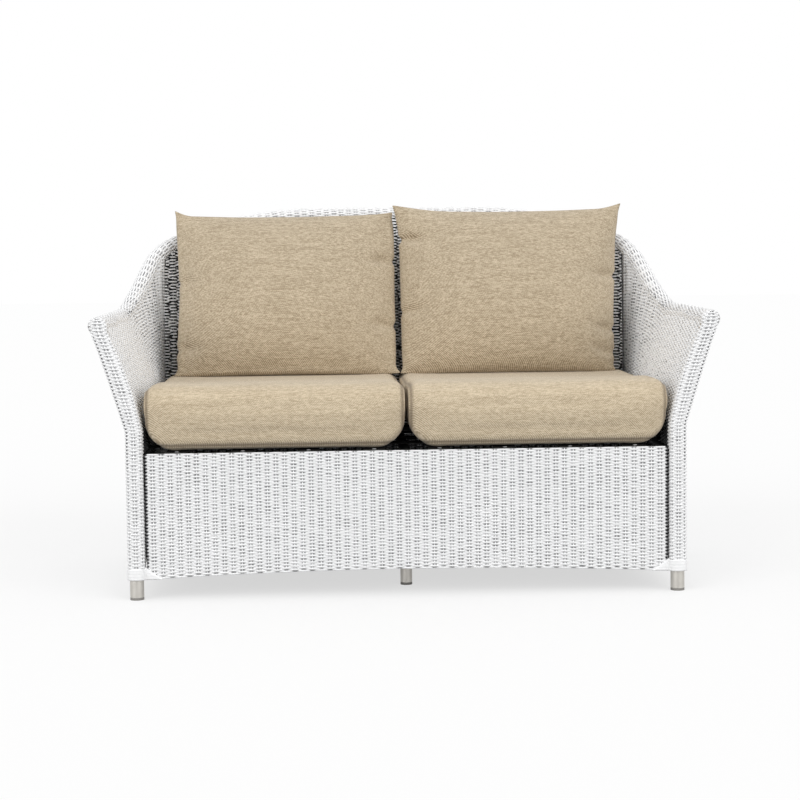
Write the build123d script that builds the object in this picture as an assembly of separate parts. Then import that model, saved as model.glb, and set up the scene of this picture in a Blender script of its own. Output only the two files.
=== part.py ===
from build123d import *
import math
import os

os.makedirs("parts", exist_ok=True)

# A two-seat patio loveseat. X runs along its width, Y from front to back, Z up.
# The origin is on the floor, under the middle of the whole piece. All sizes are in millimetres.

# Clearances
weld_gap = 0.2
soft_gap = 0.3
cut_overrun = 10

# Aluminium tubes
tube_wall = 2
post_diameter = 32
rail_diameter = 32
rear_post_diameter = 25
centre_leg_diameter = 28
deck_rail_diameter = 25
bottom_rail_diameter = 16
upright_diameter = 22

# Woven skins and the woven rolls round the tubes
roll_thickness = 4
skin_thickness = 6
apron_thickness = 8
roll_radius = rail_diameter / 2 + roll_thickness
post_radius = post_diameter / 2

# Front posts: straight up to the waist, then flared out to the arm
post_half_spread = 621
waist_height = 385
post_tip_half_spread = 694
arm_tip_half_spread = 698
arm_height = 625
post_bend_radius = 80
post_cope_depth = 8

# Arm rail and arched back rail, measured back from the front posts
arm_rise_half_spread = 691
arm_rise_depth = 548
arm_rise_height = 632
shoulder_half_spread = 616
shoulder_depth = 682
shoulder_height = 801
wing_half_spread = 362
wing_depth = 778
wing_height = 884
crown_depth = 826
crown_height = 888
rail_bend_share = 0.45
wing_bend_share = 0.9

# Seat deck, rear posts and bottom rails
apron_top = 335
apron_bottom = 46
apron_arch = 15
apron_half_width = 594
deck_rail_drop = 2
rear_post_depth = 665
centre_leg_depth = 138
bottom_rail_rise = 10
bottom_rail_bend_radius = 2000
rear_post_head_share = 0.8215

deck_top = apron_top - deck_rail_drop
deck_rail_z = deck_top - deck_rail_diameter / 2
bottom_rail_z = apron_bottom + bottom_rail_rise

# Feet glides
glide_height = 6
glide_plug_length = 16
glide_plug_gap = 0.1

# Seat straps
strap_width = 50
strap_thickness = 2.4
strap_end_margin = 8
strap_pitch = 150
long_strap_count = 8
cross_strap_count = 4
rivet_diameter = 5
rivet_head_diameter = 10
rivet_head_height = 1.4
rivet_shank_length = 9

# Seat well between the woven skins
well_half_width = 600.5
well_back_depth = 646
outer_half_width = 640
outer_back_depth = 684
lumbar_rise = 60
head_tuck = 18
inner_bow_share = 0.13
outer_bow_share = 0.02
back_bow = 6
corner_wrap_radius = 22
arm_station_shares = (0.3, 0.5, 0.58, 0.66, 0.74)
wing_station_shares = (0.86, 0.9, 0.95)
crown_station_shares = (0, 0.12, 0.3)

# Facings and cuffs of the front posts
facing_depth = 40
facing_corner_radius = 13
facing_flare_shares = (0, 0.12, 0.3, 0.5, 0.7)
cuff_height = 27
cuff_proud = 2
cuff_tail_length = 40
cuff_tail_height = 30

# Seat cushions
nose_overhang = 24
seat_top = 490
seat_length = 650
cushion_side_gap = 1
seat_rear_radius = 22
nose_top_radius = 46
nose_bottom_radius = 30
nose_draw_in = 5
seat_crown_drop = 8
seat_crown_depth = 290
seat_end_reach = 62
seat_end_reach_shares = (0, 0.14, 0.44, 1)
seat_end_drop = 44
seat_end_drop_shares = (1, 0.57, 0.2, 0.03)
seat_end_lift = 22
seat_end_lift_shares = (1, 0.5, 0.15, 0)
seat_end_draw_in = 16
seat_end_draw_in_shares = (1, 0.55, 0.18, 0)
cover_thickness = 2
batting_thickness = 10
zip_width = 8
seat_zip_length = 420

# Back pillows
pillow_half_spread = 291
pillow_foot_depth = 540
pillow_foot_sink = 20
pillow_height = 436
pillow_lean = 14
pillow_ear_width = 580
pillow_thickness = 180
pillow_edge_thickness = 7
pillow_height_shares = (0, 0.1, 0.28, 0.5, 0.72, 0.88, 0.955, 1)
pillow_width_shares = (0.984, 0.968, 0.956, 0.952, 0.957, 0.974, 0.988, 1)
pillow_thickness_shares = (0.68, 0.84, 0.97, 1, 0.88, 0.55, 0.2, 0.09)
pillow_zip_length = 340


def save(name, shape):
    """Write one named piece."""
    export_step(shape, f"parts/{name}.step")


def save_pair(name, right_piece):
    """Write a right-hand piece and its mirror image."""
    save(f"{name}_right", right_piece)
    save(f"{name}_left", mirror(right_piece, about=Plane.YZ))


def both_sides(space):
    """A space on the right and its mirror image."""
    return space, mirror(space, about=Plane.YZ)


def single(shape):
    """The main solid of a shape, without any crumb that a cut left."""
    return max(shape.solids(), key=lambda solid: solid.volume)


def clear_of(shape, *spaces):
    """The main solid of a shape, once the spaces of its neighbours are cut away."""
    for space in spaces:
        shape = shape - space
    return single(shape)


def smooth_path(points, shares):
    """Straight runs joined by tangent arcs, each as large as its share of the shorter run allows."""
    corners = [Vector(*point) for point in points]
    radii = []
    for before, corner, after, share in zip(corners, corners[1:], corners[2:], shares):
        run_in = corner - before
        run_out = after - corner
        half_turn = math.radians(run_in.get_angle(run_out)) / 2
        radii.append(share * min(run_in.length, run_out.length) / math.tan(half_turn))
    return FilletPolyline(*points, radius=radii)


def start_plane(path):
    return Plane(origin=path @ 0, z_dir=path % 0)


def bar(path, diameter):
    """A solid round bar along a path."""
    return sweep(start_plane(path) * Circle(diameter / 2), path=path)


def tube(path, diameter, wall=tube_wall):
    """A hollow round tube along a path."""
    ring = Circle(diameter / 2) - Circle(diameter / 2 - wall)
    return sweep(start_plane(path) * ring, path=path)


def weld_bar(path, diameter):
    """The space that a tube takes from its neighbours where they are welded to it."""
    return bar(path, diameter + 2 * weld_gap)


def long_bar(path, diameter):
    """A solid round bar along a path that also runs on in front of its start."""
    start = path @ 0
    return bar(path, diameter) + bar(Line(start - (path % 0) * cut_overrun, start), diameter)


def left_of(point):
    return Vector(-point.X, point.Y, point.Z)


# Routes of the rails, laid out back from the front posts and then moved to the middle of the frame
rail_tip = Vector(arm_tip_half_spread, -post_radius, arm_height)
rail_rise = Vector(arm_rise_half_spread, arm_rise_depth, arm_rise_height)
rail_shoulder = Vector(shoulder_half_spread, shoulder_depth, shoulder_height)
rail_wing = Vector(wing_half_spread, wing_depth, wing_height)
rail_crown = Vector(0, crown_depth, crown_height)
rail_joint = (rail_shoulder + rail_wing) / 2
roll_tip = rail_tip - Vector(0, roll_thickness, 0)
arm_shares = [rail_bend_share, rail_bend_share]
back_corners = [rail_joint, rail_wing, rail_crown, left_of(rail_wing), left_of(rail_joint)]
arm_rail_route = smooth_path([rail_tip, rail_rise, rail_shoulder, rail_joint], arm_shares)
arm_roll_route = smooth_path([roll_tip, rail_rise, rail_shoulder, rail_joint], arm_shares)
back_rail_route = smooth_path(back_corners, [wing_bend_share, rail_bend_share, wing_bend_share])
overall_depth = nose_overhang + (back_rail_route @ 0.5).Y + roll_radius
front_post_y = nose_overhang - overall_depth / 2
front_posts = Pos(0, front_post_y, 0)
arm_rail_path = front_posts * arm_rail_route
arm_roll_path = front_posts * arm_roll_route
back_rail_path = front_posts * back_rail_route

# Routes of the posts, right-hand side
rear_post_y = front_post_y + rear_post_depth
front_rail_y = front_post_y + weld_gap + deck_rail_diameter / 2
post_waist = Vector(post_half_spread, front_post_y, waist_height)
post_tip = Vector(post_tip_half_spread, front_post_y, arm_height)
post_head = post_tip - (post_tip - post_waist).normalized() * post_cope_depth
front_post_path = FilletPolyline(
    (post_half_spread, front_post_y, glide_height), post_waist, post_head, radius=post_bend_radius
)
rear_post_path = Line(
    (post_half_spread, rear_post_y, glide_height), (post_half_spread, rear_post_y, shoulder_height)
)

arm_rail_space = long_bar(arm_rail_path, rail_diameter + 2 * weld_gap)
back_rail_space = weld_bar(back_rail_path, rail_diameter)
front_post_space = weld_bar(front_post_path, post_diameter)
rear_post_space = weld_bar(rear_post_path, rear_post_diameter)
front_post_spaces = both_sides(front_post_space)
rear_post_spaces = both_sides(rear_post_space)

# Front posts, arm rails, back rail and rear posts
save_pair("front_post", clear_of(tube(front_post_path, post_diameter), arm_rail_space))
save_pair("arm_rail", tube(arm_rail_path, rail_diameter))
save("back_top_rail", tube(back_rail_path, rail_diameter))
save_pair("rear_post", clear_of(tube(rear_post_path, rear_post_diameter), arm_rail_space))

# Bottom rails that carry the lower edge of the weave
front_bottom_y = front_post_y + weld_gap + bottom_rail_diameter / 2
side_bottom_x = outer_half_width - skin_thickness - weld_gap - bottom_rail_diameter / 2
rear_bottom_y = front_post_y + outer_back_depth - skin_thickness - weld_gap - bottom_rail_diameter / 2
front_bottom_path = FilletPolyline(
    (-post_half_spread, front_bottom_y, bottom_rail_z),
    (0, front_bottom_y, bottom_rail_z + apron_arch),
    (post_half_spread, front_bottom_y, bottom_rail_z),
    radius=bottom_rail_bend_radius,
)
rear_bottom_path = Line(
    (-post_half_spread, rear_bottom_y, bottom_rail_z), (post_half_spread, rear_bottom_y, bottom_rail_z)
)
side_bottom_path = Line(
    (side_bottom_x, front_post_y, bottom_rail_z), (side_bottom_x, rear_bottom_y, bottom_rail_z)
)
front_bottom_space = weld_bar(front_bottom_path, bottom_rail_diameter)
side_bottom_space = weld_bar(side_bottom_path, bottom_rail_diameter)
rear_bottom_space = weld_bar(rear_bottom_path, bottom_rail_diameter)
save("bottom_rail_front", clear_of(tube(front_bottom_path, bottom_rail_diameter), *front_post_spaces))
save("bottom_rail_rear", clear_of(tube(rear_bottom_path, bottom_rail_diameter), *rear_post_spaces))
side_bottom_neighbours = front_post_space, rear_post_space, front_bottom_space, rear_bottom_space
save_pair("bottom_rail_side", clear_of(tube(side_bottom_path, bottom_rail_diameter), *side_bottom_neighbours))

# Seat straps: the long ones run front to back on the rails, the cross ones lie over them
resting = (Align.CENTER, Align.CENTER, Align.MIN)
hanging = (Align.CENTER, Align.CENTER, Align.MAX)
long_strap_z = deck_top + weld_gap
cross_strap_z = long_strap_z + strap_thickness + weld_gap
strap_top = cross_strap_z + strap_thickness
long_strap_span = rear_post_y - front_rail_y
long_strap = Box(strap_width, long_strap_span + 2 * strap_end_margin, strap_thickness, align=resting)
cross_strap = Box(2 * (post_half_spread + strap_end_margin), strap_width, strap_thickness, align=resting)
long_strap_xs = [strap_pitch * (i - (long_strap_count - 1) / 2) for i in range(long_strap_count)]
cross_strap_pitch = long_strap_span / (cross_strap_count + 1)
cross_strap_ys = [front_rail_y + cross_strap_pitch * (i + 1) for i in range(cross_strap_count)]
deck_middle_y = (front_rail_y + rear_post_y) / 2


def rivet(x, y, strap_z):
    """A rivet whose head lies on a strap and whose shank goes through it into the rail."""
    head = Cylinder(rivet_head_diameter / 2, rivet_head_height, align=resting)
    shank = Cylinder(rivet_diameter / 2, rivet_shank_length, align=hanging)
    return Pos(x, y, strap_z + strap_thickness) * (head + shank)


def rivet_hole(x, y, strap_z):
    """The hole for a rivet, through its strap and the top wall of the rail."""
    hole_depth = rivet_shank_length + weld_gap
    hole = Cylinder(rivet_diameter / 2 + weld_gap, hole_depth, align=hanging)
    return Pos(x, y, strap_z + strap_thickness) * hole


long_rivet_places = [(x, y, long_strap_z) for x in long_strap_xs for y in (front_rail_y, rear_post_y)]
right_rivet_places = [(post_half_spread, y, cross_strap_z) for y in cross_strap_ys]
left_rivet_places = [(-x, y, z) for x, y, z in right_rivet_places]
rivet_places = long_rivet_places + right_rivet_places + left_rivet_places
rivet_holes = [rivet_hole(*place) for place in rivet_places]
long_straps = [Pos(x, deck_middle_y, long_strap_z) * long_strap for x in long_strap_xs]
cross_straps = [Pos(0, y, cross_strap_z) * cross_strap for y in cross_strap_ys]
save("seat_straps_long", Compound([clear_of(strap, rivet_holes) for strap in long_straps]))
save("seat_straps_cross", Compound([clear_of(strap, rivet_holes) for strap in cross_straps]))
save("strap_rivets", Compound([rivet(*place) for place in rivet_places]))

# Seat deck: four rails and a bar from front to back over the centre leg
front_deck_path = Line(
    (-post_half_spread, front_rail_y, deck_rail_z), (post_half_spread, front_rail_y, deck_rail_z)
)
rear_deck_path = Line(
    (-post_half_spread, rear_post_y, deck_rail_z), (post_half_spread, rear_post_y, deck_rail_z)
)
side_deck_path = Line(
    (post_half_spread, front_post_y, deck_rail_z), (post_half_spread, rear_post_y, deck_rail_z)
)
deck_bar_path = Line((0, front_rail_y, deck_rail_z), (0, rear_post_y, deck_rail_z))
front_deck_space = weld_bar(front_deck_path, deck_rail_diameter)
rear_deck_space = weld_bar(rear_deck_path, deck_rail_diameter)
side_deck_space = weld_bar(side_deck_path, deck_rail_diameter)
deck_bar_space = weld_bar(deck_bar_path, deck_rail_diameter)
front_deck_tube = tube(front_deck_path, deck_rail_diameter)
rear_deck_tube = tube(rear_deck_path, deck_rail_diameter)
side_deck_tube = tube(side_deck_path, deck_rail_diameter)
deck_bar_tube = tube(deck_bar_path, deck_rail_diameter)
side_deck_neighbours = front_post_space, rear_post_space, front_deck_space, rear_deck_space
save("deck_rail_front", clear_of(front_deck_tube, *front_post_spaces, rivet_holes))
save("deck_rail_rear", clear_of(rear_deck_tube, *rear_post_spaces, rivet_holes))
save_pair("deck_rail_side", clear_of(side_deck_tube, *side_deck_neighbours, rivet_holes))
save("deck_bar_centre", clear_of(deck_bar_tube, front_deck_space, rear_deck_space))

# Centre leg under the deck bar, and the upright behind the middle of the back
centre_leg_y = front_post_y + centre_leg_depth
centre_leg_path = Line((0, centre_leg_y, glide_height), (0, centre_leg_y, deck_rail_z))
save("centre_leg", clear_of(tube(centre_leg_path, centre_leg_diameter), deck_bar_space))
upright_path = Line((0, rear_post_y, deck_rail_z), back_rail_path @ 0.5)
upright_neighbours = rear_deck_space, deck_bar_space, back_rail_space
save("back_upright", clear_of(tube(upright_path, upright_diameter), *upright_neighbours))


# Glides pressed into the feet
def glide(x, y, diameter):
    bore = diameter - 2 * tube_wall - 2 * glide_plug_gap
    foot = Cylinder(diameter / 2, glide_height, align=resting)
    plug = Cylinder(bore / 2, glide_height + glide_plug_length, align=resting)
    return Pos(x, y, 0) * (foot + plug)


save_pair("glide_front", glide(post_half_spread, front_post_y, post_diameter))
save_pair("glide_rear", glide(post_half_spread, rear_post_y, rear_post_diameter))
save("glide_centre", glide(0, centre_leg_y, centre_leg_diameter))

# Woven rolls over the arm rails and the back rail, and round the rear posts at the corners
arm_roll_space = long_bar(arm_roll_path, 2 * (roll_radius + soft_gap))
back_roll_space = bar(back_rail_path, 2 * (roll_radius + soft_gap))
upright_space = weld_bar(upright_path, upright_diameter)
arm_roll_neighbours = weld_bar(arm_rail_path, rail_diameter), front_post_space, rear_post_space
save_pair("arm_weave_roll", clear_of(bar(arm_roll_path, 2 * roll_radius), *arm_roll_neighbours))
save("back_weave_roll", clear_of(bar(back_rail_path, 2 * roll_radius), back_rail_space, upright_space))
corner_wrap_top = (arm_rail_path @ rear_post_head_share).Z
corner_wrap_path = Line(
    (post_half_spread, rear_post_y, apron_bottom), (post_half_spread, rear_post_y, corner_wrap_top)
)
corner_wrap_space = bar(corner_wrap_path, 2 * (corner_wrap_radius + soft_gap))
deck_ends = rear_deck_space, side_deck_space
bottom_ends = rear_bottom_space, side_bottom_space
corner_wrap_bore = bar(corner_wrap_path, rear_post_diameter + 2 * soft_gap)
corner_wrap_neighbours = arm_roll_space, *deck_ends, *bottom_ends, corner_wrap_bore
save_pair("corner_wrap", clear_of(bar(corner_wrap_path, 2 * corner_wrap_radius), *corner_wrap_neighbours))


# Woven skins, lofted through upright sections: straight to the waist, then bowed to the roll
def skin_section(plane, foot, waist, head, thickness, bow):
    """A section of a skin: its near face up, its far face down, bowed by bow above the waist."""
    middle = ((waist[0] + head[0]) / 2 + bow, (waist[1] + head[1]) / 2)
    far_foot, far_waist, far_middle, far_head = [(x + thickness, z) for x, z in (foot, waist, middle, head)]
    near_face = [Line(foot, waist), ThreePointArc(waist, middle, head)]
    far_face = [ThreePointArc(far_head, far_middle, far_waist), Line(far_waist, far_foot)]
    return plane * make_face([*near_face, Line(head, far_head), *far_face, Line(far_foot, foot)])


def arm_skin(face_x, foot_z, head_offset, bow_share):
    """The skin on one side of the right arm, from behind the facing to the rear post."""
    front_share = (post_radius + facing_depth / 2 + soft_gap) / arm_rail_path.length
    sections = []
    for share in (front_share, *arm_station_shares, rear_post_head_share):
        rail = arm_rail_path @ share
        plane = Plane(origin=(0, rail.Y, 0), x_dir=(1, 0, 0), z_dir=(0, -1, 0))
        head_x = rail.X + head_offset
        bow = -bow_share * (head_x - face_x)
        foot, waist, head = (face_x, foot_z), (face_x, waist_height), (head_x, rail.Z)
        sections.append(skin_section(plane, foot, waist, head, skin_thickness, bow))
    return loft(sections, ruled=True)


def back_skin(face_y, foot_z, waist_z, head_offset, bow, wing_shares):
    """The skin on one side of the back, from wing to wing."""
    right_points = [arm_rail_path @ share for share in wing_shares]
    right_points += [back_rail_path @ share for share in crown_station_shares]
    left_points = [left_of(point) for point in reversed(right_points)]
    sections = []
    for rail in right_points + [back_rail_path @ 0.5] + left_points:
        plane = Plane(origin=(rail.X, 0, 0), x_dir=(0, 1, 0), z_dir=(1, 0, 0))
        foot, waist, head = (face_y, foot_z), (face_y, waist_z), (rail.Y + head_offset, rail.Z)
        sections.append(skin_section(plane, foot, waist, head, skin_thickness, bow))
    return loft(sections, ruled=True)


skin_foot_z = strap_top + soft_gap
lumbar_z = skin_foot_z + lumbar_rise
skirt_top = deck_top - deck_rail_diameter
outer_head_offset = head_tuck - skin_thickness
inner_back_y = front_post_y + well_back_depth
outer_back_y = front_post_y + outer_back_depth - skin_thickness
outer_wing_shares = (rear_post_head_share, *wing_station_shares)
inner_arm = well_half_width, skin_foot_z, -head_tuck, inner_bow_share
outer_arm = outer_half_width - skin_thickness, bottom_rail_z, outer_head_offset, outer_bow_share
inner_back = inner_back_y, skin_foot_z, lumbar_z, -head_tuck, -back_bow, wing_station_shares
outer_back = outer_back_y, bottom_rail_z, skirt_top, outer_head_offset, back_bow, outer_wing_shares
back_skin_neighbours = back_roll_space, *both_sides(arm_roll_space), *both_sides(corner_wrap_space)
save_pair("arm_weave_inner", clear_of(arm_skin(*inner_arm), arm_roll_space, corner_wrap_space))
save_pair("arm_weave_outer", clear_of(arm_skin(*outer_arm), arm_roll_space, corner_wrap_space))
save("back_weave_inner", clear_of(back_skin(*inner_back), *back_skin_neighbours))
save("back_weave_outer", clear_of(back_skin(*outer_back), *back_skin_neighbours))


# Facings: the woven bands round the front posts, flared with the arm skins behind them
def flared(face_x, head_x, bow_share, share):
    """How far out a face of the arm is at a share of the way from the waist to the rail."""
    flare = head_x - face_x
    return face_x + share * flare - 4 * bow_share * flare * share * (1 - share)


def facing_section(z, share):
    inner_x = flared(well_half_width, arm_tip_half_spread - head_tuck, inner_bow_share, share)
    outer_x = flared(outer_half_width, arm_tip_half_spread + head_tuck, outer_bow_share, share)
    outline = RectangleRounded(outer_x - inner_x, facing_depth, facing_corner_radius)
    return Pos((inner_x + outer_x) / 2, front_post_y, z) * outline


cuff_top = apron_bottom + cuff_height
flare_rise = arm_height - waist_height
facing_head_share = 1 - (roll_radius + soft_gap) / flare_rise
facing_shares = *facing_flare_shares, facing_head_share
facing_sections = [facing_section(cuff_top, 0)]
facing_sections += [facing_section(waist_height + share * flare_rise, share) for share in facing_shares]
facing_neighbours = front_post_space, front_deck_space, side_deck_space
save_pair("front_facing", clear_of(loft(facing_sections, ruled=True), *facing_neighbours))


# Cuffs: smooth wraps at the foot of the facings, each with a tail into the apron's corner
def cuff_tail(grow):
    foot = Vector(well_half_width, 0, apron_bottom)
    corners = foot + Vector(0, 0, cuff_tail_height + grow), foot - Vector(cuff_tail_length + grow, 0, 0)
    outline = make_face(Polyline(foot, *corners, close=True))
    return Pos(0, front_post_y - soft_gap, 0) * extrude(outline, apron_thickness + cuff_proud, dir=(0, -1, 0))


cuff_width = outer_half_width - well_half_width + 2 * cuff_proud
cuff_depth = facing_depth + 2 * cuff_proud
cuff_outline = RectangleRounded(cuff_width, cuff_depth, facing_corner_radius + cuff_proud)
cuff_middle_x = (well_half_width + outer_half_width) / 2
cuff_band = Pos(cuff_middle_x, front_post_y, apron_bottom) * extrude(cuff_outline, cuff_height - soft_gap)
cuff_neighbours = front_post_space, front_bottom_space, side_bottom_space
save_pair("cuff", clear_of(cuff_band + cuff_tail(0), *cuff_neighbours))

# Apron under the front of the seat, with a slightly arched lower edge
apron_outline = make_face(
    [
        Line((-apron_half_width, 0, apron_bottom), (-apron_half_width, 0, apron_top)),
        Line((-apron_half_width, 0, apron_top), (apron_half_width, 0, apron_top)),
        Line((apron_half_width, 0, apron_top), (apron_half_width, 0, apron_bottom)),
        ThreePointArc(
            (apron_half_width, 0, apron_bottom),
            (0, 0, apron_bottom + apron_arch),
            (-apron_half_width, 0, apron_bottom),
        ),
    ]
)
apron = Pos(0, front_post_y, 0) * extrude(apron_outline, apron_thickness, dir=(0, -1, 0))
cuff_clearance = 2 * soft_gap
save("apron_weave", clear_of(apron, *both_sides(cuff_tail(cuff_clearance))))


# Seat cushions: a long nose, a crowned top and drawn-in ends
def quarter_round(centre, radius, quarter):
    """A quarter circle, clockwise, that starts a number of quarter turns on from the left."""
    across, up = [(-1, 0), (0, 1), (1, 0), (0, -1)][quarter], [(0, 1), (1, 0), (0, -1), (-1, 0)][quarter]
    middle = Vector(across[0] + up[0], across[1] + up[1]).normalized()
    start, halfway, end = [Vector(*centre) + Vector(*step) * radius for step in (across, middle, up)]
    return ThreePointArc(start, halfway, end)


def seat_section(x, drop, lift, draw_in, inset):
    """The outline of a seat cushion across its depth, clockwise from the nose, in a plane across X."""
    front = front_post_y - nose_overhang + draw_in + inset
    rear = front_post_y - nose_overhang + seat_length - draw_in - inset
    low = strap_top + soft_gap + lift + inset
    high = seat_top - drop - inset
    chin = front + nose_draw_in
    crown_end = front + seat_crown_depth
    bend_top, bend_low, bend_rear = [
        radius - inset for radius in (nose_top_radius, nose_bottom_radius, seat_rear_radius)
    ]
    nose_high = high - seat_crown_drop
    nose_top = quarter_round((front + bend_top, nose_high - bend_top), bend_top, 0)
    rear_top = quarter_round((rear - bend_rear, high - bend_rear), bend_rear, 1)
    rear_low = quarter_round((rear - bend_rear, low + bend_rear), bend_rear, 2)
    nose_low = quarter_round((chin + bend_low, low + bend_low), bend_low, 3)
    crown_middle = ((front + bend_top + crown_end) / 2, high - seat_crown_drop / 4)
    outline = [
        nose_top,
        ThreePointArc(nose_top @ 1, crown_middle, (crown_end, high)),
        Line((crown_end, high), rear_top @ 0),
        rear_top,
        Line(rear_top @ 1, rear_low @ 0),
        rear_low,
        Line(rear_low @ 1, nose_low @ 0),
        nose_low,
        Line(nose_low @ 1, nose_top @ 0),
    ]
    return Plane(origin=(x, 0, 0), x_dir=(0, 1, 0), z_dir=(1, 0, 0)) * make_face(outline)


def seat_form(inset):
    """The right seat cushion, or what lies inset below its surface."""
    inner_end = cushion_side_gap + inset
    outer_end = well_half_width - cushion_side_gap - inset
    ends = zip(seat_end_reach_shares, seat_end_drop_shares, seat_end_lift_shares, seat_end_draw_in_shares)
    inner_sections = []
    outer_sections = []
    for reach, drop, lift, draw_in in ends:
        shape = (drop * seat_end_drop, lift * seat_end_lift, draw_in * seat_end_draw_in, inset)
        inner_sections.append(seat_section(inner_end + reach * seat_end_reach, *shape))
        outer_sections.append(seat_section(outer_end - reach * seat_end_reach, *shape))
    middle_section = seat_section((inner_end + outer_end) / 2, 0, 0, 0, inset)
    return loft([*inner_sections, middle_section, *reversed(outer_sections)], ruled=True)


def zip_slot(middle, length, grow):
    """A slot for a zip through a cover, along the width."""
    width = zip_width + 2 * grow
    return Pos(*middle) * Box(length + 2 * grow, width, width)


batting_inset = cover_thickness + soft_gap
foam_inset = batting_inset + batting_thickness
seat_outer = seat_form(0)
seat_lining = seat_form(cover_thickness)
seat_zip_middle = (
    well_half_width / 2,
    front_post_y - nose_overhang + seat_length - cover_thickness / 2,
    (strap_top + seat_top) / 2,
)
seat_shell = clear_of(seat_outer, seat_lining)
save_pair("seat_cushion_cover", clear_of(seat_shell, zip_slot(seat_zip_middle, seat_zip_length, soft_gap)))
save_pair("seat_cushion_zip", single(seat_shell & zip_slot(seat_zip_middle, seat_zip_length, 0)))
save_pair("seat_cushion_batting", clear_of(seat_form(batting_inset), seat_form(foam_inset - soft_gap)))
save_pair("seat_cushion_foam", seat_form(foam_inset))


# Back pillows: two crowned faces that meet in a thin edge, drawn in at the sides, flat underneath
def pillow_form(inset):
    """The right pillow, or what lies inset below its surface."""
    lean = math.radians(pillow_lean)
    rise = Vector(0, math.sin(lean), math.cos(lean))
    foot = Vector(pillow_half_spread, front_post_y + pillow_foot_depth, seat_top - pillow_foot_sink)
    sections = []
    for share, width_share, thickness_share in zip(
        pillow_height_shares, pillow_width_shares, pillow_thickness_shares
    ):
        half_width = pillow_ear_width * width_share / 2 - inset
        half_thickness = pillow_thickness * thickness_share / 2 - inset
        half_edge = (pillow_edge_thickness - inset) / 2
        front = ThreePointArc((-half_width, -half_edge), (0, -half_thickness), (half_width, -half_edge))
        rear = ThreePointArc((half_width, half_edge), (0, half_thickness), (-half_width, half_edge))
        right_edge = Line((half_width, -half_edge), (half_width, half_edge))
        left_edge = Line((-half_width, half_edge), (-half_width, -half_edge))
        middle = foot + rise * (inset + share * (pillow_height - 2 * inset))
        plane = Plane(origin=middle, x_dir=(1, 0, 0), z_dir=rise)
        sections.append(plane * make_face([front, right_edge, rear, left_edge]))
    under = Pos(pillow_half_spread, 0, seat_top + soft_gap + inset)
    floor = under * Box(pillow_ear_width * 2, overall_depth * 2, pillow_height, align=hanging)
    return clear_of(loft(sections, ruled=True), floor)


pillow_outer = pillow_form(0)
pillow_lining = pillow_form(cover_thickness)
pillow_shell = clear_of(pillow_outer, pillow_lining)
pillow_zip_middle = (
    pillow_half_spread, front_post_y + pillow_foot_depth, seat_top + soft_gap + cover_thickness / 2
)
save_pair("pillow_cover", clear_of(pillow_shell, zip_slot(pillow_zip_middle, pillow_zip_length, soft_gap)))
save_pair("pillow_zip", single(pillow_shell & zip_slot(pillow_zip_middle, pillow_zip_length, 0)))
save_pair("pillow_fibre", pillow_form(batting_inset))
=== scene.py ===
import math

import bmesh
import bpy
import numpy as np
from mathutils import Matrix, Vector
from mathutils.bvhtree import BVHTree


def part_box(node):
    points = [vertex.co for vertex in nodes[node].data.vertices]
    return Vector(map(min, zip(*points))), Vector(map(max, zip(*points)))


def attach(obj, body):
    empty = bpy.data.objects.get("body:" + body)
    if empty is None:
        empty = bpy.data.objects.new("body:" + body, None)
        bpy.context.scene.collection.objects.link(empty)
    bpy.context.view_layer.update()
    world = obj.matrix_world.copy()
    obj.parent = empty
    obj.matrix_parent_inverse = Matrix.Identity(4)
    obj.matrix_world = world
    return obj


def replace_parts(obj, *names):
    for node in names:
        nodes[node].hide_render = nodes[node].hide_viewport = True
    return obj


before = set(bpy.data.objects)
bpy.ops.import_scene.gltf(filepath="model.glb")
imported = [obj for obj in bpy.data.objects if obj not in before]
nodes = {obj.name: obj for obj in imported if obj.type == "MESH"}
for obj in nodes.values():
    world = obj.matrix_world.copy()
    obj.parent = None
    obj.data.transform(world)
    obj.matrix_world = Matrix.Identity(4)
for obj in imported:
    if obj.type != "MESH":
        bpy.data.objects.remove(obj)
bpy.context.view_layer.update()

scene = bpy.context.scene

# Studio: a white backdrop and floor that keep only the loveseat's own soft shadow.
# The camera stands 4.2 m in front of the front posts, a little left of the middle and 0.77 m
# above the floor, and looks slightly to the right and down.
camera_place = Vector((-0.1718, -4.6371, 0.7727))
camera_yaw = math.radians(2.12)
camera_drop = math.radians(4.38)
camera_roll = math.radians(-0.672)
lens_pixels = 1863.6
picture_pixels = 800

camera_data = bpy.data.cameras.new("photo_camera")
camera_data.sensor_width = 36
camera_data.lens = camera_data.sensor_width * lens_pixels / picture_pixels
camera = bpy.data.objects.new("photo_camera", camera_data)
scene.collection.objects.link(camera)
camera_turn = Matrix.Rotation(-camera_yaw, 4, "Z")
camera_tilt = Matrix.Rotation(math.pi / 2 - camera_drop, 4, "X")
camera_aim = camera_turn @ camera_tilt
camera_stand = Matrix.Translation(camera_place) @ camera_aim
camera.matrix_world = camera_stand @ Matrix.Rotation(camera_roll, 4, "Z")
scene.camera = camera
scene.view_settings.view_transform = "Standard"

# Frame tubes: round aluminium tube, bent and welded, with a champagne powder coat.
# Only the feet show below the weave; they carry fine scuffs and a soft sheen.
champagne = (0.60, 0.58, 0.54, 1)
champagne_worn = (0.47, 0.45, 0.415, 1)


class Socket:
    """A shader socket that Python's operators work on; each operation adds its node."""

    def __init__(self, finish, output):
        self.finish = finish
        self.output = output

    def math(self, operation, other):
        return self.finish.node("ShaderNodeMath", {"operation": operation}, {0: self, 1: other})

    def __add__(self, other):
        return self.math("ADD", other)

    def __sub__(self, other):
        return self.math("SUBTRACT", other)

    def __mul__(self, other):
        return self.math("MULTIPLY", other)

    def __rsub__(self, other):
        return (self * -1).math("ADD", other)

    __radd__ = __add__
    __rmul__ = __mul__


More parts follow.
